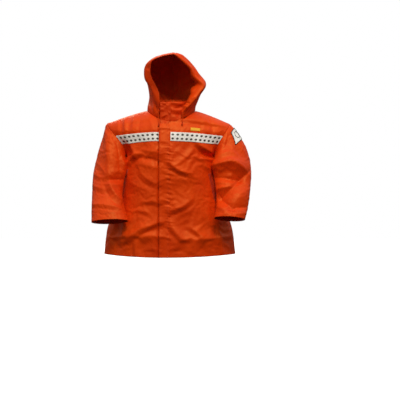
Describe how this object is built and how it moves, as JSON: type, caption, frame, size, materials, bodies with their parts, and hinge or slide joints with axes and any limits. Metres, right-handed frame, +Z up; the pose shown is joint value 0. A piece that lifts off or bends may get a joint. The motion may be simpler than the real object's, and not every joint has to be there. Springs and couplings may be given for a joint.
{
  "type": "hooded raincoat",
  "caption": "Hooded orange rain jacket in its worn shape, with a stand collar, storm flap over a hidden zip, set-in sleeves and a white reflective band across the chest",
  "frame": {"origin": "the middle of the neck opening, level with the inner ends of the shoulder seams", "axes": "+Z up from hem to hood, +X the coat's own left, -Y its front"},
  "size_m": [0.7566, 0.3595, 0.9664],
  "materials": {
    "shell": "coated woven cloth, satin orange",
    "zip_tape": "woven zip tape, dark red",
    "reflective": "white reflective tape with rows of dark dots",
    "welt": "coated woven cloth, darker orange",
    "tab": "plain woven tab, yellow",
    "patch": "plain woven patch, white with a dark edge",
    "cord": "braided cord, dark orange",
    "cord_end": "moulded end, dark red"
  },
  "bodies": {
    "root": {"front_right": "shell", "front_left": "shell", "back": "shell", "sleeve_right": "shell", "sleeve_left": "shell", "hood_right": "shell", "hood_left": "shell", "collar": "shell", "storm_flap": "shell", "zip": "zip_tape", "band_right": "reflective", "band_left": "reflective", "welt_right": "welt", "welt_left": "welt", "chest_tab": "tab", "sleeve_patch": "patch", "cord_right": "cord", "cord_end_right": "cord_end", "cord_left": "cord", "cord_end_left": "cord_end"}
  },
  "joints": []
}
